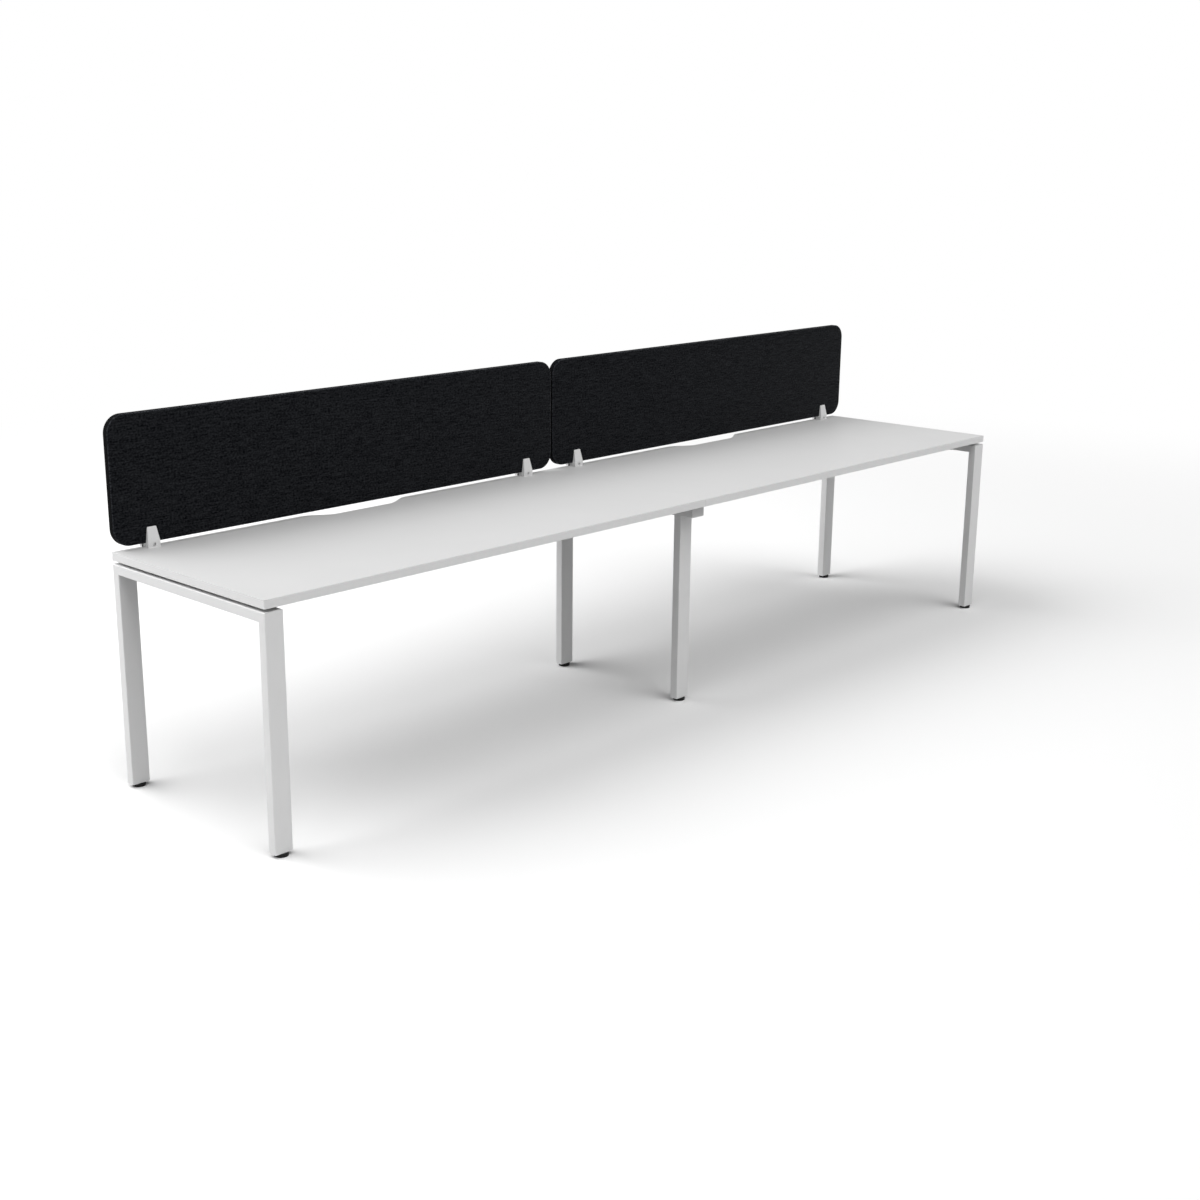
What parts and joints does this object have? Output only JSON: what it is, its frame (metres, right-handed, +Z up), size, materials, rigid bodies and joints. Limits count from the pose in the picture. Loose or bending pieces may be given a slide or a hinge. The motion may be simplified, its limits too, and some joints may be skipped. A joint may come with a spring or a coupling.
{
  "type": "office workstation",
  "caption": "Long single-sided desk for people seated side by side: white tops on tube frames, felt screens clamped along the rear edge, levelling feet.",
  "frame": {"origin": "on the floor, under the middle of the desk", "axes": "+X along the desk from left to right as the sitter sees it, +Y from the sitter to the rear edge, +Z up"},
  "size_m": [3.61, 0.764, 1.132],
  "materials": {
    "white_laminate": "satin melamine over particle board",
    "white_edging": "satin edging strip",
    "white_powder_coat": "satin powder coat",
    "white_plastic": "moulded plastic, fine grain",
    "bracket_enamel": "cast aluminium with a pale satin coat",
    "charcoal_felt": "pressed polyester felt, slightly mottled",
    "black_plastic": "moulded plastic",
    "zinc_steel": "zinc plated"
  },
  "bodies": {
    "workstation": {"beam_bolts": "zinc_steel", "beam_left_front": "white_powder_coat", "beam_left_rear": "white_powder_coat", "beam_right_front": "white_powder_coat", "beam_right_rear": "white_powder_coat", "bracket_screws": "zinc_steel", "clamp_bolts": "zinc_steel", "edging_left": "white_edging", "edging_right": "white_edging", "left_frame_front_leg": "white_powder_coat", "left_frame_rail": "white_powder_coat", "left_frame_rear_leg": "white_powder_coat", "left_front_leg_plug": "black_plastic", "left_inner_bracket_front_jaw": "bracket_enamel", "left_inner_bracket_rear_jaw": "bracket_enamel", "left_outer_bracket_front_jaw": "bracket_enamel", "left_outer_bracket_rear_jaw": "bracket_enamel", "left_rear_leg_plug": "black_plastic", "middle_frame_front_leg": "white_powder_coat", "middle_frame_rail": "white_powder_coat", "middle_frame_rear_leg": "white_powder_coat", "middle_front_leg_plug": "black_plastic", "middle_rail_front_cap": "white_plastic", "middle_rail_rear_cap": "white_plastic", "middle_rear_leg_plug": "black_plastic", "right_frame_front_leg": "white_powder_coat", "right_frame_rail": "white_powder_coat", "right_frame_rear_leg": "white_powder_coat", "right_front_leg_plug": "black_plastic", "right_inner_bracket_front_jaw": "bracket_enamel", "right_inner_bracket_rear_jaw": "bracket_enamel", "right_outer_bracket_front_jaw": "bracket_enamel", "right_outer_bracket_rear_jaw": "bracket_enamel", "right_rear_leg_plug": "black_plastic", "rivet_nuts": "zinc_steel", "screen_left": "charcoal_felt", "screen_right": "charcoal_felt", "threaded_inserts": "zinc_steel", "worktop_left": "white_laminate", "worktop_right": "white_laminate", "worktop_screws": "zinc_steel"},
    "left_front_stud": {"left_front_foot_stud": "zinc_steel"},
    "left_front_pad": {"left_front_foot_pad": "black_plastic"},
    "left_rear_stud": {"left_rear_foot_stud": "zinc_steel"},
    "left_rear_pad": {"left_rear_foot_pad": "black_plastic"},
    "middle_front_stud": {"middle_front_foot_stud": "zinc_steel"},
    "middle_front_pad": {"middle_front_foot_pad": "black_plastic"},
    "middle_rear_stud": {"middle_rear_foot_stud": "zinc_steel"},
    "middle_rear_pad": {"middle_rear_foot_pad": "black_plastic"},
    "right_front_stud": {"right_front_foot_stud": "zinc_steel"},
    "right_front_pad": {"right_front_foot_pad": "black_plastic"},
    "right_rear_stud": {"right_rear_foot_stud": "zinc_steel"},
    "right_rear_pad": {"right_rear_foot_pad": "black_plastic"}
  },
  "joints": [
    {"name": "left_front_foot_travel", "type": "slide", "parent": "workstation", "child": "left_front_stud", "axis": [0, 0, -1], "range_m": [0, 0.015]},
    {"name": "left_front_foot_turn", "type": "hinge", "parent": "left_front_stud", "child": "left_front_pad", "pos_m": [-1.77, -0.36, 0], "axis": [0, 0, -1], "range_deg": [0, 4320]},
    {"name": "left_rear_foot_travel", "type": "slide", "parent": "workstation", "child": "left_rear_stud", "axis": [0, 0, -1], "range_m": [0, 0.015]},
    {"name": "left_rear_foot_turn", "type": "hinge", "parent": "left_rear_stud", "child": "left_rear_pad", "pos_m": [-1.77, 0.36, 0], "axis": [0, 0, -1], "range_deg": [0, 4320]},
    {"name": "middle_front_foot_travel", "type": "slide", "parent": "workstation", "child": "middle_front_stud", "axis": [0, 0, -1], "range_m": [0, 0.015]},
    {"name": "middle_front_foot_turn", "type": "hinge", "parent": "middle_front_stud", "child": "middle_front_pad", "pos_m": [0, -0.28, 0], "axis": [0, 0, -1], "range_deg": [0, 4320]},
    {"name": "middle_rear_foot_travel", "type": "slide", "parent": "workstation", "child": "middle_rear_stud", "axis": [0, 0, -1], "range_m": [0, 0.015]},
    {"name": "middle_rear_foot_turn", "type": "hinge", "parent": "middle_rear_stud", "child": "middle_rear_pad", "pos_m": [0, 0.28, 0], "axis": [0, 0, -1], "range_deg": [0, 4320]},
    {"name": "right_front_foot_travel", "type": "slide", "parent": "workstation", "child": "right_front_stud", "axis": [0, 0, -1], "range_m": [0, 0.015]},
    {"name": "right_front_foot_turn", "type": "hinge", "parent": "right_front_stud", "child": "right_front_pad", "pos_m": [1.77, -0.36, 0], "axis": [0, 0, -1], "range_deg": [0, 4320]},
    {"name": "right_rear_foot_travel", "type": "slide", "parent": "workstation", "child": "right_rear_stud", "axis": [0, 0, -1], "range_m": [0, 0.015]},
    {"name": "right_rear_foot_turn", "type": "hinge", "parent": "right_rear_stud", "child": "right_rear_pad", "pos_m": [1.77, 0.36, 0], "axis": [0, 0, -1], "range_deg": [0, 4320]}
  ],
  "couplings": [
    {"joint": "left_front_foot_travel", "follows": "left_front_foot_turn", "m_per_rad": 0.00019894},
    {"joint": "left_rear_foot_travel", "follows": "left_rear_foot_turn", "m_per_rad": 0.00019894},
    {"joint": "middle_front_foot_travel", "follows": "middle_front_foot_turn", "m_per_rad": 0.00019894},
    {"joint": "middle_rear_foot_travel", "follows": "middle_rear_foot_turn", "m_per_rad": 0.00019894},
    {"joint": "right_front_foot_travel", "follows": "right_front_foot_turn", "m_per_rad": 0.00019894},
    {"joint": "right_rear_foot_travel", "follows": "right_rear_foot_turn", "m_per_rad": 0.00019894}
  ]
}
